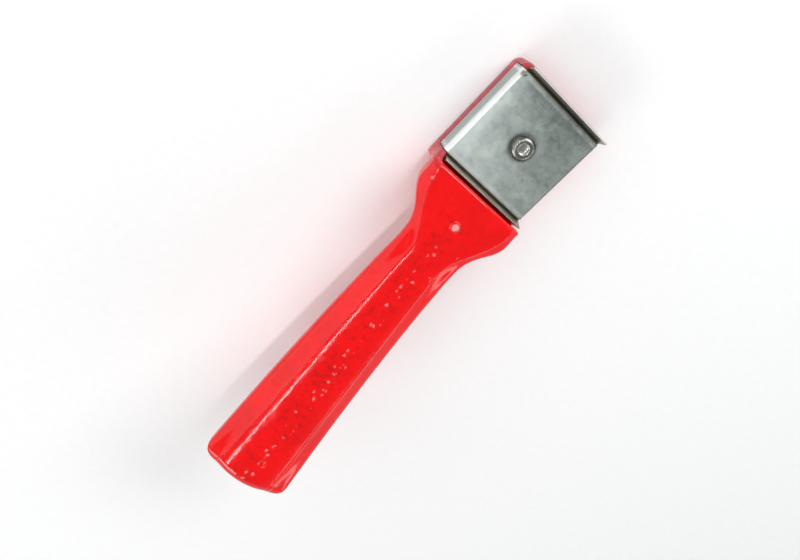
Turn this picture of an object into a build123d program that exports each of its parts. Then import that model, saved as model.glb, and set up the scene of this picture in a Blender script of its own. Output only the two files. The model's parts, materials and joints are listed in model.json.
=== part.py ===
from build123d import *
import math
import os

# Pull scraper for hive boxes and frames, in millimetres.
# +Z is up through the clamping screw, +Y runs from the grip to the working lip and +X is to the
# right. The origin is on the flat underside of the head, straight below the screw.

# Head of the handle
head_block_height = 14.0
head_side_margin = 0.3
head_front_margin = 0.35
head_corner_radius = 3.6
head_edge_radius = 1.6
seat_edge_radius = 0.6
post_above_cover = 0.5

# Cover plate
cover_width = 44.0
cover_length = 41.2
cover_sheet = 1.5
cover_flange_drop = 9.8
cover_bend_inner = 0.7
cover_edge_round = 1.1

# Blade
blade_sheet = 1.0
blade_bend_inner = 0.8
lip_angle = 80.0
lip_rise = 5.5
bevel_length = 1.8
bevel_land = 0.08

# Clamping screw, an M6 button head with a hexagon socket
screw_diameter = 6.0
screw_length = 12.0
screw_head_diameter = 10.5
screw_head_height = 3.3
screw_head_rim = 0.8
screw_top_diameter = 6.2
screw_socket_flats = 4.0
screw_socket_depth = 2.1
screw_point_chamfer = 0.7
screw_dome_bulge = 0.68

# Threaded insert moulded into the head
insert_wall = 1.5
insert_length = 10.0
insert_flange_overhang = 1.5
insert_flange_height = 1.2
insert_groove_width = 1.6
insert_groove_depth = 0.7
knurl_count = 20
knurl_width = 0.6
knurl_depth = 0.35

# Grip, from the shoulder behind the blade to the butt
grip_length = 143.6
grip_rise_angle = 14.8
grip_thickness = 20.0
shoulder_above_lip = 0.9
shoulder_flare = 1.7
shoulder_lift = 2.6
shoulder_land = 5.0
shoulder_edge_radius = 1.0
block_overlap = 3.0
neck_distance = 28.0
neck_width = 27.8
neck_thickness = 17.0
butt_width = 38.6
butt_edge_radius = 7.0
butt_narrowing = 0.62
crown_height = 0.8
butt_crown_height = 2.2

# Shape of the grip's cross-section: half-widths of the flat top, drops from the top's edge to the
# widest line, and shares of the width or height at which the curves turn
shoulder_arris = 19.5
neck_arris = 7.6
butt_arris = 12.8
end_side_drop = 2.4
middle_side_drop = 5.8
shoulder_base_share = 0.93
grip_base_share = 0.62
crown_flat_share = 0.6
side_lead_share = 0.45
side_fall_share = 0.45
brow_up_share = 0.5
haunch_share = 0.5
heel_share = 0.3
widest_inset_share = 0.9
grip_steps = 18
butt_steps = 6
rim_steps = 3

# Clearances
thread_clearance = 0.05
hole_clearance = 0.3
lip_to_cover_gap = 0.15
blade_end_gap = 0.1
flange_gap = 0.3
lip_to_shoulder_gap = 0.45
screw_tip_room = 1.0

# Levels and places that follow from the sizes above
seat_z = head_block_height
blade_top_z = seat_z + blade_sheet
cover_top_z = blade_top_z + cover_sheet
lip_tip_z = cover_top_z + lip_rise
flange_foot_z = cover_top_z - cover_flange_drop
cover_left = -cover_width / 2
flange_inner_x = cover_left + cover_sheet
blade_left = flange_inner_x + cover_bend_inner + blade_end_gap
blade_right = cover_width / 2
blade_half_flat = cover_length / 2 + lip_to_cover_gap
lip_slope = math.radians(lip_angle)
lip_root_y = blade_half_flat + blade_bend_inner * math.tan(lip_slope / 2)
lip_tip_y = lip_root_y + (lip_tip_z - blade_top_z) / math.tan(lip_slope)
lip_back_y = lip_tip_y + blade_sheet / math.sin(lip_slope)
head_width = cover_width + 2 * head_side_margin
head_front = lip_back_y + head_front_margin
shoulder_y = -(lip_back_y + lip_to_shoulder_gap)
shoulder_height = lip_tip_z + shoulder_above_lip
shoulder_width = head_width + 2 * shoulder_flare
screw_tip_z = cover_top_z - screw_length
insert_bottom_z = seat_z - insert_length
insert_radius = screw_diameter / 2 + insert_wall
insert_flange_radius = insert_radius + insert_flange_overhang
hole_radius = screw_diameter / 2 + hole_clearance


def blend(distance, start, end):
    # smooth step that goes from 0 at start to 1 at end
    share = min(max((distance - start) / (end - start), 0.0), 1.0)
    return share * share * (3 - 2 * share)


def grip_section(distance, inset, width_share):
    # cross-section of the grip at a distance behind the shoulder, lowered by inset at its top,
    # raised by inset at its base and narrowed to width_share of its width
    to_neck = blend(distance, shoulder_land, neck_distance)
    past_neck = max(distance - neck_distance, 0.0) / (grip_length - neck_distance)
    full_width = shoulder_width + (neck_width - shoulder_width) * to_neck
    full_width += (butt_width - neck_width) * past_neck
    narrowing = blend(distance, shoulder_land, neck_distance + shoulder_land)
    full_arris = shoulder_arris + (neck_arris - shoulder_arris) * narrowing
    full_arris += (butt_arris - neck_arris) * past_neck
    side_drop = end_side_drop + (middle_side_drop - end_side_drop) * math.sin(math.pi * past_neck)
    thickness = shoulder_height + (neck_thickness - shoulder_height) * to_neck
    thickness += (grip_thickness - neck_thickness) * blend(past_neck, 0.0, 0.5)
    base_share = shoulder_base_share + (grip_base_share - shoulder_base_share) * to_neck
    top_z = shoulder_height + distance * math.tan(math.radians(grip_rise_angle))
    top_z -= shoulder_lift * blend(distance, 0.0, 2 * neck_distance)
    crown = crown_height + (butt_crown_height - crown_height) * past_neck
    half_width = full_width / 2 * width_share
    arris_x = full_arris * width_share
    base_half = half_width * base_share
    arris_z = top_z - inset
    widest_z = top_z - side_drop - widest_inset_share * inset
    base_z = top_z - thickness + inset
    side_x = arris_x + side_lead_share * (half_width - arris_x)
    side_z = arris_z - side_fall_share * (arris_z - widest_z)
    brow_z = widest_z + brow_up_share * (arris_z - widest_z)
    haunch_z = base_z + haunch_share * (widest_z - base_z)
    heel_x = heel_share * base_half
    crown_z = arris_z + crown
    crown_x = crown_flat_share * arris_x
    with BuildSketch(Plane.XZ.offset(distance - shoulder_y)) as section:
        with BuildLine():
            Bezier((0, crown_z), (crown_x, crown_z), (arris_x, arris_z))
            Bezier((arris_x, arris_z), (side_x, side_z), (half_width, brow_z), (half_width, widest_z))
            Bezier((half_width, widest_z), (half_width, haunch_z), (base_half, base_z), (heel_x, base_z))
            Line((heel_x, base_z), (0, base_z))
            mirror(about=Plane.YZ)
        make_face()
    return section.sketch.face()


def butt_section(turn):
    # cross-section on the rounded end, where turn goes from 0 to 90 degrees round the edge
    distance = grip_length - butt_edge_radius * (1 - math.sin(turn))
    inset = butt_edge_radius * (1 - math.cos(turn))
    return grip_section(distance, inset, 1 - butt_narrowing * (1 - math.cos(turn)))


def rim_section(turn):
    # cross-section on the rounded front edge of the shoulder, which ends where turn is 90 degrees
    distance = shoulder_edge_radius * (1 - math.sin(turn))
    inset = shoulder_edge_radius * (1 - math.cos(turn))
    return grip_section(distance, inset, 1 - inset / (shoulder_width / 2))


os.makedirs("parts", exist_ok=True)

# ---- Handle: head block, shoulder, neck and grip in one moulding ----
grip_pitch = (grip_length - butt_edge_radius - shoulder_edge_radius) / grip_steps
grip_places = [shoulder_edge_radius + grip_pitch * step for step in range(grip_steps + 1)]
grip_sections = [grip_section(place, 0.0, 1.0) for place in grip_places]
butt_sections = [butt_section(math.pi / 2 * step / butt_steps) for step in range(butt_steps + 1)]
rim_sections = [rim_section(math.pi / 2 * step / rim_steps) for step in range(rim_steps + 1)]
rebate_half = cover_length / 2 + flange_gap
rebate_wall_x = flange_inner_x + flange_gap
rebate_floor_z = flange_foot_z - flange_gap
post_wall_x = blade_left - flange_gap
post_top_z = cover_top_z + post_above_cover
tip_pocket_depth = max(insert_bottom_z - screw_tip_z, 0.0) + screw_tip_room
block_back_y = shoulder_y - block_overlap
shoulder_side_z = shoulder_height - end_side_drop - shoulder_edge_radius

# Post that closes the left end of the gap behind the blade and runs up into the shoulder
with BuildPart() as post:
    extrude(rim_section(math.pi / 2), amount=rebate_half + shoulder_y)
    with BuildSketch(Plane.XY):
        with BuildLine():
            Polyline(
                (post_wall_x, -rebate_half),
                (-head_width / 2, -rebate_half),
                (-shoulder_width / 2, shoulder_y),
                (post_wall_x, shoulder_y),
                close=True,
            )
        make_face()
    extrude(amount=2 * shoulder_height, mode=Mode.INTERSECT)
    with BuildSketch(Plane.YZ.offset(-shoulder_width)):
        with BuildLine():
            Polyline(
                (-rebate_half, post_top_z),
                (shoulder_y, shoulder_side_z),
                (shoulder_y, 2 * shoulder_height),
                (-rebate_half, 2 * shoulder_height),
                close=True,
            )
        make_face()
    extrude(amount=2 * shoulder_width, mode=Mode.SUBTRACT)

with BuildPart() as handle:
    with BuildSketch(Plane.XY) as head_plan:
        with Locations((0, block_back_y)):
            Rectangle(head_width, head_front - block_back_y, align=(Align.CENTER, Align.MIN))
        fillet(head_plan.vertices().group_by(Axis.Y)[-1], head_corner_radius)
    extrude(amount=head_block_height)
    underside_edges = handle.edges().group_by(Axis.Z)[0].sort_by(Axis.Y)[1:]
    fillet(underside_edges, head_edge_radius)
    fillet(handle.edges().group_by(Axis.Z)[-1].sort_by(Axis.Y)[-1], seat_edge_radius)
    loft(sections=grip_sections)
    loft(sections=butt_sections, ruled=True)
    loft(sections=rim_sections, ruled=True)
    add(post.part)

    # Rebate in the left side for the cover's flange
    with BuildSketch(Plane.XY.offset(rebate_floor_z)):
        with Locations((rebate_wall_x, 0)):
            Rectangle(head_width, 2 * rebate_half, align=(Align.MAX, Align.CENTER))
    extrude(amount=shoulder_height, mode=Mode.SUBTRACT)

    # Pocket for the insert, with room under the screw's tip
    with Locations((0, 0, seat_z)):
        CounterBoreHole(
            radius=insert_radius,
            counter_bore_radius=insert_flange_radius,
            counter_bore_depth=insert_flange_height,
            depth=insert_length,
        )
    with Locations((0, 0, insert_bottom_z)):
        Hole(radius=hole_radius, depth=tip_pocket_depth)

handle.part.label = "handle"
export_step(handle.part, "parts/handle.step")

# ---- Threaded insert: flanged, knurled and waisted, moulded into the head ----
waist_z = (insert_bottom_z + seat_z - insert_flange_height) / 2
bore_radius = screw_diameter / 2 + thread_clearance

with BuildPart() as threaded_insert:
    with BuildSketch(Plane.XY.offset(insert_bottom_z)):
        Circle(insert_radius)
    extrude(amount=insert_length)
    with BuildSketch(Plane.XY.offset(seat_z - insert_flange_height)):
        Circle(insert_flange_radius)
    extrude(amount=insert_flange_height)
    with BuildSketch(Plane.XY.offset(insert_bottom_z)):
        with PolarLocations(insert_radius, knurl_count):
            Rectangle(2 * knurl_depth, knurl_width)
    extrude(amount=insert_length - insert_flange_height, mode=Mode.SUBTRACT)
    with BuildSketch(Plane.XY.offset(waist_z - insert_groove_width / 2)):
        Circle(insert_radius)
        Circle(insert_radius - insert_groove_depth, mode=Mode.SUBTRACT)
    extrude(amount=insert_groove_width, mode=Mode.SUBTRACT)
    with Locations((0, 0, seat_z)):
        Hole(radius=bore_radius)

threaded_insert.part.label = "threaded_insert"
export_step(threaded_insert.part, "parts/threaded_insert.step")

# ---- Blade: a channel of spring steel with a sharpened lip along each long side ----
lip_along = (math.cos(lip_slope), math.sin(lip_slope))
lip_outward = (math.sin(lip_slope), -math.cos(lip_slope))
outer_root_y = lip_root_y + blade_sheet * math.tan(lip_slope / 2)
edge_land_y = lip_tip_y + bevel_land * lip_outward[0]
edge_land_z = lip_tip_z + bevel_land * lip_outward[1]
bevel_heel_y = lip_tip_y - bevel_length * lip_along[0] + blade_sheet * lip_outward[0]
bevel_heel_z = lip_tip_z - bevel_length * lip_along[1] + blade_sheet * lip_outward[1]
blade_width = blade_right - blade_left

with BuildPart() as blade:
    with BuildSketch(Plane.YZ.offset(blade_left)) as blade_profile:
        with BuildLine():
            Polyline(
                (0, seat_z),
                (outer_root_y, seat_z),
                (bevel_heel_y, bevel_heel_z),
                (edge_land_y, edge_land_z),
                (lip_tip_y, lip_tip_z),
                (lip_root_y, blade_top_z),
                (0, blade_top_z),
                close=True,
            )
        make_face()
        outer_corner = blade_profile.vertices().sort_by_distance((outer_root_y, seat_z, 0))[0]
        fillet(outer_corner, blade_bend_inner + blade_sheet)
        inner_corner = blade_profile.vertices().sort_by_distance((lip_root_y, blade_top_z, 0))[0]
        fillet(inner_corner, blade_bend_inner)
        mirror(about=Plane.YZ)
    extrude(amount=blade_width)
    with BuildSketch(Plane.XY.offset(seat_z)):
        Rectangle(cover_width, 2 * hole_radius, align=(Align.MAX, Align.CENTER))
        Circle(hole_radius)
    extrude(amount=blade_sheet, mode=Mode.SUBTRACT)

blade.part.label = "blade"
export_step(blade.part, "parts/blade.step")

# ---- Cover plate: a pressed square with one flange down the left side of the head ----
with BuildPart() as cover_plate:
    with BuildSketch(Plane.XZ.offset(-cover_length / 2)) as cover_profile:
        with BuildLine():
            Polyline(
                (cover_left, flange_foot_z),
                (cover_left, cover_top_z),
                (-cover_left, cover_top_z),
                (-cover_left, blade_top_z),
                (flange_inner_x, blade_top_z),
                (flange_inner_x, flange_foot_z),
                close=True,
            )
        make_face()
        left_corner = cover_profile.vertices().sort_by_distance((cover_left, cover_top_z, 0))[0]
        fillet(left_corner, cover_bend_inner + cover_sheet)
        right_corner = cover_profile.vertices().sort_by_distance((-cover_left, cover_top_z, 0))[0]
        fillet(right_corner, cover_edge_round)
        inner_corner = cover_profile.vertices().sort_by_distance((flange_inner_x, blade_top_z, 0))[0]
        fillet(inner_corner, cover_bend_inner)
    extrude(amount=cover_length)
    with Locations((0, 0, cover_top_z)):
        Hole(radius=hole_radius)

cover_plate.part.label = "cover_plate"
export_step(cover_plate.part, "parts/cover_plate.step")

# ---- Clamping screw ----
shank_radius = screw_diameter / 2
head_top_z = cover_top_z + screw_head_height
socket_corner_radius = screw_socket_flats / math.sqrt(3)
dome_width = (screw_head_diameter - screw_top_diameter) / 2
dome_mid_x = screw_top_diameter / 2 + screw_dome_bulge * dome_width
dome_mid_z = cover_top_z + screw_head_rim + screw_dome_bulge * (screw_head_height - screw_head_rim)

with BuildPart() as clamp_screw:
    with BuildSketch(Plane.XZ):
        with BuildLine():
            Polyline(
                (0, head_top_z),
                (0, screw_tip_z),
                (shank_radius - screw_point_chamfer, screw_tip_z),
                (shank_radius, screw_tip_z + screw_point_chamfer),
                (shank_radius, cover_top_z),
                (screw_head_diameter / 2, cover_top_z),
                (screw_head_diameter / 2, cover_top_z + screw_head_rim),
            )
            ThreePointArc(
                (screw_head_diameter / 2, cover_top_z + screw_head_rim),
                (dome_mid_x, dome_mid_z),
                (screw_top_diameter / 2, head_top_z),
            )
            Line((screw_top_diameter / 2, head_top_z), (0, head_top_z))
        make_face()
    revolve(axis=Axis.Z)
    with BuildSketch(Plane.XY.offset(head_top_z - screw_socket_depth)):
        RegularPolygon(radius=socket_corner_radius, side_count=6)
    extrude(amount=screw_socket_depth, mode=Mode.SUBTRACT)

clamp_screw.part.label = "clamp_screw"
export_step(clamp_screw.part, "parts/clamp_screw.step")
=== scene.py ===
import json
import math

import bpy
from mathutils import Matrix, Vector

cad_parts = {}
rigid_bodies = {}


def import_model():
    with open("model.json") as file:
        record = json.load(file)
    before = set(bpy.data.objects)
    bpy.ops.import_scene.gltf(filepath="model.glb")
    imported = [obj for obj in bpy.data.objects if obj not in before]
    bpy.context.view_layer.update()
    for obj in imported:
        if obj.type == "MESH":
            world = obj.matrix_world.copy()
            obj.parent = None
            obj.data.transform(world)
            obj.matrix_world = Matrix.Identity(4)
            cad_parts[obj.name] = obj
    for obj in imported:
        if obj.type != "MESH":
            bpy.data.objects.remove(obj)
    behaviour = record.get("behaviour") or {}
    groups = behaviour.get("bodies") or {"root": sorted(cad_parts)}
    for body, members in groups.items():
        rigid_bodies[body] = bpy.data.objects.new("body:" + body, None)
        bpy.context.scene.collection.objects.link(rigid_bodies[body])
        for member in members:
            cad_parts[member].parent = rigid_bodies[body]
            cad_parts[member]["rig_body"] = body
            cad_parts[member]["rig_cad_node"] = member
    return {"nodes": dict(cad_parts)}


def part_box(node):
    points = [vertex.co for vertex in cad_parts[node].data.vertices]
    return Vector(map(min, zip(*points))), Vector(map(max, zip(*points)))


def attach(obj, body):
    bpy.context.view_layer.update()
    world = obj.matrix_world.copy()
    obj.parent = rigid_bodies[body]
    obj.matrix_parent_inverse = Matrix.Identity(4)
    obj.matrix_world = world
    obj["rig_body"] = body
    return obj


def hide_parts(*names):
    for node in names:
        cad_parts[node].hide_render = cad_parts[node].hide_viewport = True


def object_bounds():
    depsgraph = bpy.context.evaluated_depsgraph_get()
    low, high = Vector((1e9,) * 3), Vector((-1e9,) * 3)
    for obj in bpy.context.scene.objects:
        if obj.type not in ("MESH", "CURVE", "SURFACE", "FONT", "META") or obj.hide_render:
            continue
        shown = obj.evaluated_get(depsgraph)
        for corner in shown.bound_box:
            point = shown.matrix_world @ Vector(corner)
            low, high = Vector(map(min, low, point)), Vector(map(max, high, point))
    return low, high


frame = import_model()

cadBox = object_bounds()
mm = 0.001
mergeWithin = 0.002 * mm

# where the pieces are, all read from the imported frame
handleLow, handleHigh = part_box("handle")
coverLow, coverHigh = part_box("cover_plate")
bladeLow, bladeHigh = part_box("blade")
screwLow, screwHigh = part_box("clamp_screw")
print("frame loaded, tool length", round(handleHigh.y - handleLow.y, 4))


def pick(piece):
    # only this piece is selected and active
    bpy.ops.object.select_all(action="DESELECT")
    piece.select_set(True)
    bpy.context.view_layer.objects.active = piece


def named(name):
    piece = bpy.context.object
    piece.name = name
    piece.data.name = name
    return piece


def applied(piece, kind, **settings):
    pick(piece)
    modifier = piece.modifiers.new(kind.lower(), kind)
    for key, value in settings.items():
        setattr(modifier, key, value)
    bpy.ops.object.modifier_apply(modifier=modifier.name)


def cut(piece, cutter):
    applied(piece, "BOOLEAN", object=cutter, operation="DIFFERENCE", solver="EXACT")
    bpy.data.objects.remove(cutter)


def easeEdges(piece, width, segments, angle):
    # bevels the edges that turn by more than the angle
    sharp = {"limit_method": "ANGLE", "angle_limit": math.radians(angle)}
    applied(piece, "BEVEL", width=width, segments=segments, **sharp)


def selectPoints(piece, test):
    # in edit mode, selects the vertices that pass the test
    bpy.ops.mesh.select_all(action="DESELECT")
    bpy.ops.mesh.select_mode(type="VERT")
    bpy.ops.object.mode_set(mode="OBJECT")
    for point in piece.data.vertices:
        point.select = test(point.co)
    bpy.ops.object.mode_set(mode="EDIT")


def selectEdges(piece, test):
    # in edit mode, selects the edges whose two ends pass the test together
    bpy.ops.mesh.select_all(action="DESELECT")
    bpy.ops.mesh.select_mode(type="EDGE")
    bpy.ops.object.mode_set(mode="OBJECT")
    points = piece.data.vertices
    for edge in piece.data.edges:
        edge.select = test(*[points[i].co for i in edge.vertices])
    bpy.ops.object.mode_set(mode="EDIT")


def freeze():
    # place, turn and size go into the mesh
    bpy.ops.object.transform_apply(location=True, rotation=True, scale=True)


def weld():
    # in edit mode, merges doubles and turns the normals out, then leaves edit mode
    bpy.ops.mesh.select_all(action="SELECT")
    bpy.ops.mesh.remove_doubles(threshold=mergeWithin)
    bpy.ops.mesh.normals_make_consistent(inside=False)
    bpy.ops.object.mode_set(mode="OBJECT")


def settle(piece, sharpest=35):
    # place in the mesh, normals out, smooth where the surface is smooth
    pick(piece)
    freeze()
    bpy.ops.object.mode_set(mode="EDIT")
    weld()
    bpy.ops.object.shade_smooth_by_angle(angle=math.radians(sharpest))


class Shade:
    # wraps a socket of a material, so that an expression on values adds its Math nodes
    def __init__(self, tree, socket=None):
        self.tree = tree
        self.socket = socket

    def node(self, kind, settings=None, inputs=None, output=0):
        made = self.tree.nodes.new(kind)
        for key, value in (settings or {}).items():
            setattr(made, key, value)
        for key, value in (inputs or {}).items():
            if isinstance(value, Shade):
                self.tree.links.new(value.socket, made.inputs[key])
            else:
                made.inputs[key].default_value = value
        return Shade(self.tree, made.outputs[output])

    def math(self, operation, first, second=0.0):
        return self.node("ShaderNodeMath", {"operation": operation}, {0: first, 1: second})

    def __add__(self, other):
        return self.math("ADD", self, other)

    def __sub__(self, other):
        return self.math("SUBTRACT", self, other)

    def __rsub__(self, other):
        return self.math("SUBTRACT", other, self)

    def __mul__(self, other):
        return self.math("MULTIPLY", self, other)

    def __pow__(self, other):
        return self.math("POWER", self, other)

    def __abs__(self):
        return self.math("ABSOLUTE", self)

    __radd__ = __add__
    __rmul__ = __mul__

    def ramp(self, low, high):
        # 0 below low, 1 above high, smooth between; high may be less than low
        settings = {"interpolation_type": "SMOOTHSTEP"}
        inputs = {"Value": self, "From Min": min(low, high), "From Max": max(low, high)}
        rising = self.node("ShaderNodeMapRange", settings, inputs)
        return rising if low < high else 1 - rising


def mixColour(mask, first, second):
    # the first colour where the mask is 0 and the second where it is 1
    return mask.node("ShaderNodeMix", {"data_type": "RGBA"}, {0: mask, 6: first, 7: second}, 2)


def newMaterial(name):
    material = bpy.data.materials.new(name)
    material.use_nodes = True
    tree = material.node_tree
    surface = tree.nodes["Principled BSDF"]
    place = Shade(tree).node("ShaderNodeTexCoord", output="Object")
    return material, surface, place


def axes(vector, wanted):
    # the wanted ones of X, Y and Z, each a value of its own
    return [vector.node("ShaderNodeSeparateXYZ", None, {0: vector}, axis) for axis in wanted]


def fromSpot(x, y, spotX=0.0, spotY=0.0):
    # how far a point lies from the spot, seen from above
    return ((x - spotX) ** 2.0 + (y - spotY) ** 2.0) ** 0.5


def stretched(place, scale):
    return place.node("ShaderNodeMapping", None, {"Vector": place, "Scale": scale})


def noise(place, scale, detail=3.0, roughness=0.5, warp=0.0):
    # the scale is in lumps per metre
    sizes = {"Vector": place, "Scale": scale, "Detail": detail, "Roughness": roughness, "Distortion": warp}
    return place.node("ShaderNodeTexNoise", None, sizes)


def bump(height, distance, strength=1.0, under=None):
    sizes = {"Height": height, "Distance": distance, "Strength": strength}
    if under:
        sizes["Normal"] = under
    return height.node("ShaderNodeBump", None, sizes)


def wire(surface, name, value):
    if isinstance(value, Shade):
        value.tree.links.new(value.socket, surface.inputs[name])
    else:
        surface.inputs[name].default_value = value


cameraSet = {
    "place": (-0.0987, 0.0042, 0.2765),
    "turn": (-16.35, -20.67, 39.36),  # degrees about x, y and z, z first
    "lens": 31.5,
    "sensor": 36,
    "clip": (0.005, 20),
}


def makeCamera(values):
    bpy.ops.object.camera_add(location=values["place"])
    camera = bpy.context.object
    camera.name = "viewCamera"
    camera.rotation_mode = "ZYX"
    camera.rotation_euler = [math.radians(a) for a in values["turn"]]
    camera.data.lens = values["lens"]
    camera.data.sensor_width = values["sensor"]
    camera.data.clip_start, camera.data.clip_end = values["clip"]
    bpy.context.scene.camera = camera


# each light's place, its width and its length along y, and its brightness
lightSet = {
    "leftKey": {"place": (-0.62, -0.1, 0.62), "size": (0.8, 1.0), "glow": 0.85},
    "plateKey": {"place": (-0.12, -0.05, 0.86), "size": (0.035, 1.0), "glow": 16.0},
    "rightKey": {"place": (0.8, -0.05, 0.5), "size": (0.08, 0.8), "glow": 3.4},
    "frontKey": {"place": (0.1, 0.7, 0.62), "size": (0.6, 0.3), "glow": 7.6},
    "rearKey": {"place": (-0.1, -0.85, 0.6), "size": (0.6, 0.3), "glow": 4.8},
}
lightAim = Vector((0, -60 * mm, 20 * mm))


def makeLights(values, aim):
    for name, light in values.items():
        bpy.ops.object.light_add(type="AREA", location=light["place"])
        lamp = bpy.context.object
        lamp.name = name
        lamp.data.shape = "RECTANGLE"
        wide, long = light["size"]
        lamp.data.size, lamp.data.size_y = wide, long
        lamp.data.energy = light["glow"] * wide * long * math.pi
        outward = (lamp.location - aim).normalized()
        along = (Vector((0, 1, 0)) - outward * outward.y).normalized()
        across = along.cross(outward)
        lamp.rotation_mode = "QUATERNION"
        lamp.rotation_quaternion = Matrix((across, along, outward)).transposed().to_quaternion()


skySet = {
    "low": (0.75, 0.75, 0.75, 1),
    "high": (0.2, 0.21, 0.21, 1),
    "fade": (0.15, 0.8),  # heights, 0 at the horizon and 1 overhead
    "strength": 1.0,
}


def makeSky(values):
    world = bpy.data.worlds.new("studioSky")
    bpy.context.scene.world = world
    world.use_nodes = True
    tree = world.node_tree
    background = tree.nodes["Background"]
    (height,) = axes(Shade(tree).node("ShaderNodeTexCoord", output="Generated"), "Z")
    colour = mixColour(height.ramp(*values["fade"]), values["low"], values["high"])
    wire(background, "Color", colour)
    wire(background, "Strength", values["strength"])


floorSet = {
    "size": 6.0,
    "colour": (0.9, 0.9, 0.9, 1),
    "speck": (0.86, 0.86, 0.865, 1),
    "rough": 0.75,
}


def makeFloor(values):
    bpy.ops.object.select_all(action="DESELECT")
    bpy.ops.mesh.primitive_grid_add(
        x_subdivisions=8, y_subdivisions=8, size=values["size"], location=(0, 0, cadBox[0].z)
    )
    floor = named("floor")
    freeze()
    material, surface, place = newMaterial("paleTable")
    wire(surface, "Base Color", mixColour(noise(place, 300), values["colour"], values["speck"]))
    wire(surface, "Roughness", values["rough"])
    floor.data.materials.append(material)


makeCamera(cameraSet)
makeLights(lightSet, lightAim)
makeSky(skySet)
makeFloor(floorSet)
bpy.context.scene.view_settings.view_transform = "Standard"
print("camera, lights and floor ready")


enamelSet = {
    "red": (0.84, 0.003, 0.004, 1),
    "deepRed": (0.42, 0.003, 0.005, 1),
    # painted shade colour for the head's left wall and front corner
    "dullShadeRed": (0.33, 0.05, 0.07, 1),
    "glintPink": (0.95, 0.42, 0.40, 1),
    "smooth": 0.1,
    "dull": 0.24,
    "peelScale": 480,
    "peelDepth": 0.03 * mm,
    "beadScale": 480,
    "beadDepth": 0.3 * mm,
    "beadsX": 0.9 * mm,  # the row of beads, a little right of the middle
    # where the painted shade and dust start and where they are full
    "leftWall": (-19.6 * mm, -20.6 * mm),
    "frontCorner": (21.2 * mm, 22.2 * mm),
    "shoulderY": -24.1 * mm,
    "neckBack": 28 * mm,
    # from the middle to the moulded edge of the grip's top
    "shoulderArris": 19.5 * mm,
    "neckArris": 7.6 * mm,
    "buttArris": 12.8 * mm,
}


def arrisLine(values, x, behind):
    # 1 on the two moulded edges of the grip's top: in to the neck, then out to the butt
    gripLength = values["shoulderY"] - handleLow.y
    toNeck = behind.ramp(5 * mm, 33 * mm)
    arris = toNeck * (values["neckArris"] - values["shoulderArris"]) + values["shoulderArris"]
    toButt = (behind - values["neckBack"]) * (1 / (gripLength - values["neckBack"]))
    widening = toButt.math("MAXIMUM", toButt, 0.0) * (values["buttArris"] - values["neckArris"])
    return abs(abs(x) - (arris + widening)).ramp(0.7 * mm, 0.1 * mm) * behind.ramp(2 * mm, 6 * mm)


def beadRow(values, place, x, behind):
    # a broken row of small domes along the crown, one cell of the texture in two left empty
    cells = {"Vector": place, "Scale": values["beadScale"], "Randomness": 0.9}
    toBead = place.node("ShaderNodeTexVoronoi", None, cells) + noise(place, 1300, 2) * 0.3 - 0.15
    (lot,) = axes(place.node("ShaderNodeTexVoronoi", None, cells, 1), "X")
    wander = noise(place, 60, 2) * (3 * mm) - 1.5 * mm
    inRow = abs(x - values["beadsX"] + wander).ramp(2.4 * mm, 1.6 * mm)
    return inRow * behind.ramp(22 * mm, 28 * mm) * toBead.ramp(0.46, 0.05) * lot.ramp(0.46, 0.54)


def redEnamel(values, marks):
    material, surface, place = newMaterial("redEnamel")
    x, y = axes(place, "XY")
    (tilt,) = axes(place.node("ShaderNodeNewGeometry", output="Normal"), "Z")
    upward = tilt.ramp(0.25, 0.6)
    behind = values["shoulderY"] - y
    # flecks of deeper red, most of them along the middle of the grip
    cloud = noise(place, 70, 4).ramp(0.4, 0.7)
    middle = abs(x + 1 * mm).ramp(9 * mm, 2 * mm) * behind.ramp(6 * mm, 12 * mm)
    mottle = noise(place, 380, 4, 0.6, 0.2).ramp(0.42, 0.8)
    tone = cloud * 0.2 + mottle * (0.2 + middle * 0.5)
    colour = mixColour(tone, values["red"], values["deepRed"])
    # dull dark red on the head's left wall and round its front corner: painted shade, with dust in the
    # roughness
    onWall = x.ramp(*values["leftWall"]) * behind.ramp(5 * mm, -4 * mm)
    onWall = onWall.math("MAXIMUM", onWall, y.ramp(*values["frontCorner"]) * 0.9)
    dustAndShade = onWall * noise(place, 300, 4).ramp(0.2, 0.5)
    colour = mixColour(dustAndShade * 0.85, colour, values["dullShadeRed"])
    edgeHighlight = noise(place, 260, 5, 0.65).ramp(0.5, 0.72)
    wear = edgeHighlight * (values["dull"] - values["smooth"])
    wire(surface, "Roughness", values["smooth"] + wear + dustAndShade * 0.35)
    # the single marks that drawMark shapes, each with its height in millimetres, painted pale on top as a
    # highlight
    heights = []
    for markX, markY, radius, height in marks:
        away = fromSpot(x, y, markX, markY)
        heights.append(away.ramp(radius, radius * 0.2) * (height / mm))
    raised = sum(heights[1:], heights[0])
    glintOnMarks = raised.ramp(0.12, 0.4) * upward * noise(place, 700, 2).ramp(0.35, 0.55)
    beads = beadRow(values, place, x, behind) * upward
    # painted highlight: the tops of the beads and the marks are mixed toward pale pink
    wire(surface, "Base Color", mixColour(beads * 0.4 + glintOnMarks * 0.75, colour, values["glintPink"]))
    # orange peel all over, then the marks, then the beads and the moulded edges
    peeled = bump(noise(place, values["peelScale"], 2), values["peelDepth"])
    pimpled = bump(raised * upward, mm, 1.0, peeled)
    edgeLine = arrisLine(values, x, behind) * upward
    wire(surface, "Normal", bump(beads + edgeLine * 0.4, values["beadDepth"], 1.0, pimpled))
    wire(surface, "IOR", 1.5)
    return material


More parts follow.
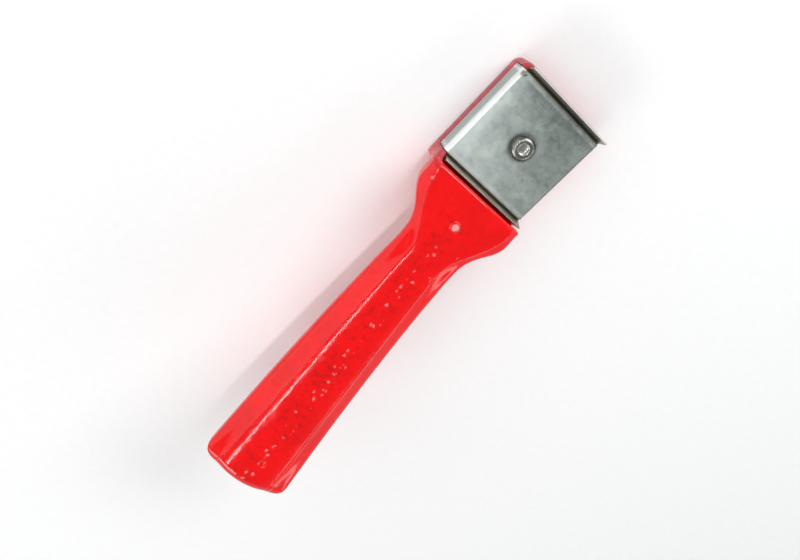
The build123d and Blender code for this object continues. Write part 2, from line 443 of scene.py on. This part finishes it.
handleSet = {
    "voxel": 0.55 * mm,
    "rounding": 4,
    "lumpSize": 20 * mm,
    "lumpHeight": 0.06 * mm,
    # x, y, radius and height of each single mark, a dent where the height is negative
    "marks": (
        (0.2 * mm, -38.6 * mm, 2.3 * mm, 0.6 * mm),
        (-20.0 * mm, -30.7 * mm, 1.6 * mm, 0.25 * mm),
        (2.0 * mm, -154.5 * mm, 2.0 * mm, -0.3 * mm),
        (6.5 * mm, -60.0 * mm, 1.2 * mm, 0.18 * mm),
        (9.0 * mm, -47.0 * mm, 1.0 * mm, 0.15 * mm),
    ),
}


def drawMark(piece, mark):
    # found from above; a few vertices are drawn along the normal, and their neighbours follow
    x, y, radius, height = mark
    spot, normal = piece.ray_cast(Vector((x, y, 200 * mm)), Vector((0, 0, -1)))[1:3]
    bpy.ops.object.mode_set(mode="EDIT")
    selectPoints(piece, lambda p: (p - spot).length < radius * 0.4)
    bpy.ops.transform.translate(
        value=normal * height, use_proportional_edit=True,
        proportional_edit_falloff="SMOOTH", proportional_size=radius,
    )
    bpy.ops.object.mode_set(mode="OBJECT")


def makeHandle(values):
    pick(frame["nodes"]["handle"])
    bpy.ops.object.duplicate()
    handle = named("mouldedHandle")
    handle.parent = None
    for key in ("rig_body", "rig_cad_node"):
        if key in handle:
            del handle[key]
    handle.data.materials.clear()
    bpy.ops.object.mode_set(mode="EDIT")
    bpy.ops.mesh.select_all(action="SELECT")
    bpy.ops.mesh.remove_doubles(threshold=mergeWithin)
    bpy.ops.object.mode_set(mode="OBJECT")
    applied(handle, "REMESH", mode="VOXEL", voxel_size=values["voxel"], adaptivity=0.0)
    applied(handle, "SMOOTH", factor=0.5, iterations=values["rounding"])
    # shallow hollows only, so that nothing stands out past the moulding's true size
    lumps = bpy.data.textures.new("lumps", "CLOUDS")
    lumps.noise_scale = values["lumpSize"]
    inward = {"strength": values["lumpHeight"], "mid_level": 1.0}
    applied(handle, "DISPLACE", texture=lumps, texture_coords="LOCAL", **inward)
    pick(handle)
    for mark in values["marks"]:
        drawMark(handle, mark)
    bpy.ops.object.shade_smooth()
    handle.data.materials.append(redEnamel(enamelSet, values["marks"]))
    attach(handle, "handle")
    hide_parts("handle")


makeHandle(handleSet)
print("handle ready")


def flatSheet(name, left, right, depth, height):
    bpy.ops.object.select_all(action="DESELECT")
    bpy.ops.mesh.primitive_plane_add(size=1, location=((left + right) / 2, 0, height))
    sheet = named(name)
    sheet.scale = (right - left, depth, 1)
    freeze()
    return sheet


def thicken(piece, sheet):
    # in edit mode, closes the folded surface's seams; then the sheet's thickness goes below it
    weld()
    if max(piece.data.polygons, key=lambda f: f.area).normal.z < 0:
        piece.data.flip_normals()
    applied(piece, "SOLIDIFY", thickness=sheet, offset=-1)


def finishSheet(piece):
    settle(piece)
    applied(piece, "WEIGHTED_NORMAL", keep_sharp=True, weight=60)


coverSet = {
    "sheet": 1.5 * mm,
    "bend": 2.2 * mm,
    "turn": 90,
    "rightEdge": 1.1 * mm,
    "edge": 0.42 * mm,
    "corner": 0.9 * mm,
    "hole": 3.3 * mm,
}
coverSteelSet = {
    "pale": (0.82, 0.90, 0.86, 1),
    "grey": (0.225, 0.262, 0.24, 1),
    # the painted highlight's colour, for the edges and the left bend
    "bright": (0.9, 0.92, 0.9, 1),
    "stainAndShade": (0.09, 0.08, 0.07, 1),
    "rough": 0.42,
    "roughest": 0.56,
    # where each patch starts and where it is full
    "bend": (-19.7 * mm, -20.4 * mm),
    "bendEnd": (-22.15 * mm, -21.6 * mm),
    "flange": (-21.65 * mm, -22.0 * mm),
    "markReach": (1.9 * mm, 0.8 * mm),
    "screwShadeReach": (6.8 * mm, 5.2 * mm),
    # painted shade on the right edge starts and is full here
    "rightEdge": (20.7 * mm, 21.7 * mm),
    "highlightEdgeY": 19.3 * mm,  # the painted highlight lines along the front and rear edges
    "markX": -19.8 * mm,
    "markY": 19.2 * mm,
}


def coverSteel(values):
    material, surface, place = newMaterial("coverSteel")
    x, y = axes(place, "XY")
    cloud = noise(place, 75, 6, 0.65, 0.6).ramp(0.32, 0.7)
    blotch = noise(place, 420, 4, 0.6, 0.4).ramp(0.4, 0.72)
    grain = noise(stretched(place, (0.07, 1, 1)), 2600, 3, 0.6).ramp(0.3, 0.75)
    speck = noise(place, 1100, 4, 0.7).ramp(0.6, 0.78)
    # painted shade toward the front right, and painted light along the left bend, paler there
    shadedFrontRight = (x * 0.8 + y).ramp(-34 * mm, 22 * mm) * 0.62
    litNearBend = x.ramp(-13 * mm, -19.5 * mm) * 0.25
    # the left bend's band: a painted highlight in the colour, smoother in the roughness
    bend = x.ramp(*values["bend"]) * x.ramp(*values["bendEnd"])
    tone = shadedFrontRight + cloud * 0.22 + blotch * 0.16 + grain * 0.1 + speck * 0.2 - litNearBend
    colour = mixColour(tone, values["pale"], values["grey"])
    # painted shade: the flange is mixed toward the dark grey
    colour = mixColour(x.ramp(*values["flange"]) * 0.75, colour, values["grey"])
    # painted highlight: bright along the front and rear edges and on the left bend
    fromHighlightLine = abs(abs(y) - values["highlightEdgeY"])
    edgeHighlight = fromHighlightLine.ramp(1.1 * mm, 0.1 * mm) * noise(place, 400, 3).ramp(0.15, 0.75)
    colour = mixColour(edgeHighlight * 0.6 + bend * 0.7, colour, values["bright"])
    # small dark marks by the front left corner; painted shade round the screw's head and on the right edge
    toMark = fromSpot(x, y, values["markX"], values["markY"])
    marks = toMark.ramp(*values["markReach"]) * noise(place, 800, 3).ramp(0.42, 0.52)
    screwShade = fromSpot(x, y).ramp(*values["screwShadeReach"]) * 0.5
    marksAndShade = marks * 0.8 + screwShade + x.ramp(*values["rightEdge"]) * 0.6
    wire(surface, "Base Color", mixColour(marksAndShade, colour, values["stainAndShade"]))
    wire(surface, "Metallic", 1 - marksAndShade * 0.4)
    rough = noise(place, 180, 4, 0.6).ramp(0.3, 0.75)
    spread = (rough * 0.7 + grain * 0.3) * (values["roughest"] - values["rough"])
    wire(surface, "Roughness", values["rough"] + spread - bend * 0.14)
    # brushed across, over a slow wave in the pressing
    brushed = noise(stretched(place, (0.05, 1, 1)), 3200, 2)
    waved = bump(noise(place, 110, 2), 0.12 * mm, 0.6)
    wire(surface, "Normal", bump(brushed, 0.012 * mm, 0.7, waved))
    return material


def makeCover(values):
    low, high = coverLow, coverHigh
    near = 0.1 * mm
    flatLeft = low.x + values["bend"]
    cover = flatSheet("coverPlate", flatLeft, high.x, high.y - low.y, high.z)
    # the left edge is folded down and drawn out into the flange
    bpy.ops.object.mode_set(mode="EDIT")
    selectEdges(cover, lambda a, b: max(a.x, b.x) < flatLeft + near)
    centre = (flatLeft, 0, high.z - values["bend"])
    bpy.ops.mesh.spin(steps=10, angle=math.radians(values["turn"]), center=centre, axis=(0, 1, 0))
    drop = high.z - values["bend"] - low.z
    bpy.ops.mesh.extrude_region_move(TRANSFORM_OT_translate={"value": (0, 0, -drop)})
    thicken(cover, values["sheet"])
    # round corners and a rolled top edge on the right
    bpy.ops.object.mode_set(mode="EDIT")
    selectEdges(cover, lambda a, b: abs(a.z - b.z) > 0.5 * mm and min(a.x, b.x) > high.x - near)
    bpy.ops.mesh.bevel(offset=values["corner"], segments=4)
    selectEdges(cover, lambda a, b: min(a.x, b.x) > high.x - near and min(a.z, b.z) > high.z - near)
    bpy.ops.mesh.bevel(offset=values["rightEdge"], segments=4)
    bpy.ops.object.mode_set(mode="OBJECT")
    bpy.ops.mesh.primitive_cylinder_add(
        vertices=64, radius=values["hole"], depth=10 * mm, location=(0, 0, high.z)
    )
    cut(cover, bpy.context.object)
    easeEdges(cover, values["edge"], 3, 50)
    finishSheet(cover)
    cover.data.materials.append(coverSteel(coverSteelSet))
    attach(cover, "cover")
    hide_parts("cover_plate")


makeCover(coverSet)
print("cover plate ready")


bladeSet = {
    "sheet": 1.0 * mm,
    "bend": 0.8 * mm,
    "angle": 80,
    "halfFlat": 20.75 * mm,
    "grind": 1.8 * mm,
    "tipLand": 0.08 * mm,
    "edge": 0.1 * mm,
    "slot": 3.3 * mm,
}
bladeSteelSet = {
    "dark": (0.34, 0.34, 0.30, 1),
    "brown": (0.30, 0.20, 0.14, 1),
    "ground": (0.75, 0.75, 0.72, 1),
    "rough": 0.3,
    "roughest": 0.5,
}


def bladeSteel(values):
    material, surface, place = newMaterial("bladeSteel")
    y, z = axes(place, "YZ")
    cloud = noise(place, 160, 5, 0.65, 0.3).ramp(0.35, 0.7)
    colour = mixColour(cloud, values["dark"], values["brown"])
    # bright where the outside of each lip is ground, and along its very tip
    fromTip = bladeHigh.z - z + noise(place, 900, 3) * (0.6 * mm)
    outside = abs(y).ramp(22.6 * mm, 22.9 * mm)
    bright = fromTip.ramp(2.3 * mm, 1.9 * mm) * outside + fromTip.ramp(0.9 * mm, 0.5 * mm) * 0.8
    wire(surface, "Base Color", mixColour(bright, colour, values["ground"]))
    wire(surface, "Metallic", 1.0)
    strokes = noise(stretched(place, (0.08, 1, 1)), 2400, 3).ramp(0.3, 0.7)
    spread = (cloud * 0.5 + strokes * 0.5) * (values["roughest"] - values["rough"])
    wire(surface, "Roughness", values["rough"] + spread)
    wire(surface, "Normal", bump(strokes, 0.01 * mm, 0.6))
    return material


def makeBlade(values):
    low, high = bladeLow, bladeHigh
    top = low.z + values["sheet"]
    angle = math.radians(values["angle"])
    blade = flatSheet("channelBlade", low.x, high.x, 2 * values["halfFlat"], top)
    # each long edge is folded up and drawn out into a lip
    rise = high.z - top - values["bend"] * (1 - math.cos(angle))
    run = rise / math.tan(angle)
    bpy.ops.object.mode_set(mode="EDIT")
    for side in (1, -1):
        edgeY = side * values["halfFlat"]
        selectEdges(blade, lambda a, b: max(abs(a.y - edgeY), abs(b.y - edgeY)) < 0.05 * mm)
        centre = (0, edgeY, top + values["bend"])
        bpy.ops.mesh.spin(steps=8, angle=-side * angle, center=centre, axis=(1, 0, 0))
        bpy.ops.mesh.extrude_region_move(TRANSFORM_OT_translate={"value": (0, side * run, rise)})
    thicken(blade, values["sheet"])
    # the grinding bevel on the outside of each lip
    bpy.ops.object.mode_set(mode="EDIT")
    tip = values["halfFlat"] + values["bend"] * math.sin(angle) + run
    slope = angle + math.atan2(values["sheet"], values["grind"])
    for side in (1, -1):
        bpy.ops.mesh.select_all(action="SELECT")
        plane = (0, side * (tip + values["tipLand"]), high.z)
        normal = (0, side * math.sin(slope), -math.cos(slope))
        bpy.ops.mesh.bisect(plane_co=plane, plane_no=normal, clear_outer=True, use_fill=True)
    bpy.ops.object.mode_set(mode="OBJECT")
    # the screw's slot: a round end at the middle, open to the left
    through = 6 * mm
    bpy.ops.mesh.primitive_cylinder_add(
        vertices=64, radius=values["slot"], depth=through, location=(0, 0, low.z)
    )
    cut(blade, bpy.context.object)
    reach = 40 * mm
    bpy.ops.mesh.primitive_cube_add(size=1, location=(-reach / 2, 0, low.z))
    cutter = bpy.context.object
    cutter.scale = (reach, 2 * values["slot"], through)
    cut(blade, cutter)
    easeEdges(blade, values["edge"], 2, 40)
    finishSheet(blade)
    blade.data.materials.append(bladeSteel(bladeSteelSet))
    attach(blade, "blade")
    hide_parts("blade")


makeBlade(bladeSet)
print("blade ready")


screwSet = {
    "core": 2.62 * mm,
    "thread": 2.98 * mm,
    "pitch": 1.0 * mm,
    "point": 0.5 * mm,
    "threadStart": 0.9 * mm,
    "shank": 1.6 * mm,  # plain, under the head
    "head": 5.25 * mm,
    "rim": 0.8 * mm,
    "flat": 2.9 * mm,
    "headHeight": 3.3 * mm,
    "socket": 2.31 * mm,
    "mouth": 2.5 * mm,
    "socketDepth": 2.1 * mm,
    "drill": 1.9 * mm,
    "drillDepth": 0.65 * mm,
    "edge": 0.06 * mm,
    "sides": 96,
}
screwSteelSet = {
    # pale is a painted highlight for the socket, dark is painted shade for the dome and its side
    "pale": (0.66, 0.67, 0.62, 1),
    "dark": (0.05, 0.05, 0.045, 1),
    "rough": 0.24,
    "roughest": 0.38,
}


def screwSteel(values):
    material, surface, place = newMaterial("screwSteel")
    x, y = axes(place, "XY")
    around = fromSpot(x, y)
    cloud = noise(place, 420, 4, 0.6).ramp(0.35, 0.7)
    # paler inside the socket as a painted highlight; darker outside it and again down the side of the dome
    # as painted shade
    dome = around.ramp(2.4 * mm, 2.8 * mm)
    side = around.ramp(3.4 * mm, 4.9 * mm)
    tone = cloud * 0.15 + dome * 0.5 + side * 0.33
    wire(surface, "Base Color", mixColour(tone, values["pale"], values["dark"]))
    wire(surface, "Metallic", 1.0)
    wire(surface, "Roughness", values["rough"] + cloud * (values["roughest"] - values["rough"]))
    wire(surface, "Normal", bump(noise(place, 1500, 3), 0.008 * mm, 0.5))
    return material


def stackRings(rings):
    # in edit mode, the selected ring is extruded up through (radius, height) pairs
    radius, height = rings[0]
    for nextRadius, nextHeight in rings[1:]:
        bpy.ops.mesh.extrude_region_move(TRANSFORM_OT_translate={"value": (0, 0, nextHeight - height)})
        share = nextRadius / radius
        bpy.ops.transform.resize(value=(share, share, 1), center_override=(0, 0, nextHeight))
        radius, height = nextRadius, nextHeight


def helixRidge(name, outer, inner, halfFoot, bottom, turns, pitch, steps=36):
    # a closed ridge of triangular section wound about z; outer is its crest and inner its foot
    bpy.ops.object.select_all(action="DESELECT")
    bpy.ops.mesh.primitive_circle_add(vertices=3, radius=halfFoot, fill_type="NOTHING")
    ridge = named(name)
    corners = ((outer, 0), (inner, halfFoot), (inner, -halfFoot))
    for vertex, (out, up) in zip(ridge.data.vertices, corners):
        vertex.co = (out, 0, bottom + up)
    winding = {"angle": 2 * math.pi, "screw_offset": pitch, "iterations": turns}
    applied(ridge, "SCREW", steps=steps, render_steps=steps, **winding)
    bpy.ops.object.mode_set(mode="EDIT")
    bpy.ops.mesh.select_all(action="SELECT")
    bpy.ops.mesh.remove_doubles(threshold=mergeWithin)
    bpy.ops.mesh.fill_holes(sides=0)
    bpy.ops.mesh.normals_make_consistent(inside=False)
    bpy.ops.object.mode_set(mode="OBJECT")
    return ridge


def makeScrew(values):
    low, high = screwLow, screwHigh
    core, thread, head, sides = (values[key] for key in ("core", "thread", "head", "sides"))
    seat = high.z - values["headHeight"]
    shankLow = seat - values["shank"]
    bpy.ops.object.select_all(action="DESELECT")
    bpy.ops.mesh.primitive_circle_add(
        vertices=sides, radius=core - values["point"], fill_type="NGON", location=(0, 0, low.z)
    )
    screw = named("clampScrew")
    freeze()
    dome = []
    for step in range(9):
        turn = math.radians(10 * step)
        spread = (head - values["flat"]) * math.cos(turn)
        rise = (values["headHeight"] - values["rim"]) * math.sin(turn)
        dome.append((values["flat"] + spread, seat + values["rim"] + rise))
    rings = [
        (core - values["point"], low.z),
        (core, low.z + values["point"]),
        (core, shankLow - 0.3 * mm),
        (thread, shankLow),
        (thread, seat),
        (head - 0.2 * mm, seat),
        (head, seat + 0.2 * mm),
        *dome,
        (values["flat"], high.z),
        (values["mouth"], high.z),
    ]
    bpy.ops.object.mode_set(mode="EDIT")
    bpy.ops.mesh.select_all(action="SELECT")
    stackRings(rings)
    bpy.ops.object.mode_set(mode="OBJECT")
    settle(screw)
    # hexagon socket with a drilled floor and a turned cone at its mouth
    floor = high.z - values["socketDepth"]
    drillTall = values["drillDepth"] + 0.05 * mm
    tall = 6 * mm
    bpy.ops.mesh.primitive_cylinder_add(
        vertices=6, radius=values["socket"], depth=tall, location=(0, 0, floor + tall / 2)
    )
    cut(screw, bpy.context.object)
    bpy.ops.mesh.primitive_cone_add(
        vertices=48, radius1=0, radius2=values["drill"], depth=drillTall,
        location=(0, 0, floor + 0.05 * mm - drillTall / 2),
    )
    cut(screw, bpy.context.object)
    bpy.ops.mesh.primitive_cone_add(
        vertices=sides, radius1=1.3 * mm, radius2=values["mouth"] + 0.4 * mm, depth=1.0 * mm,
        location=(0, 0, high.z - 0.1 * mm),
    )
    cut(screw, bpy.context.object)
    easeEdges(screw, values["edge"], 2, 40)
    # the thread, its foot sunk into the core
    bottom = low.z + values["threadStart"]
    turns = int((shankLow - bottom) / values["pitch"])
    foot, halfFoot = core - 0.06 * mm, 0.46 * values["pitch"]
    ridge = helixRidge("screwThread", thread, foot, halfFoot, bottom, turns, values["pitch"])
    pick(screw)
    ridge.select_set(True)
    bpy.ops.object.join()
    settle(screw)
    screw.data.materials.clear()
    screw.data.materials.append(screwSteel(screwSteelSet))
    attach(screw, "screw")
    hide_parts("clamp_screw")


makeScrew(screwSet)
print("screw ready")


insertBrassSet = {
    "bright": (0.78, 0.57, 0.27, 1),
    "dull": (0.42, 0.27, 0.12, 1),
    "rough": 0.25,
    "roughest": 0.45,
}


def insertBrass(values):
    material, surface, place = newMaterial("insertBrass")
    cloud = noise(place, 500, 4, 0.6).ramp(0.35, 0.7)
    wire(surface, "Base Color", mixColour(cloud, values["bright"], values["dull"]))
    wire(surface, "Metallic", 1.0)
    wire(surface, "Roughness", values["rough"] + cloud * (values["roughest"] - values["rough"]))
    wire(surface, "Normal", bump(noise(place, 2500, 2), 0.01 * mm, 0.6))
    return material


insert = frame["nodes"]["threaded_insert"]
insert.data.materials.clear()
insert.data.materials.append(insertBrass(insertBrassSet))
print("insert ready")

bpy.context.view_layer.update()
print("finished scene")
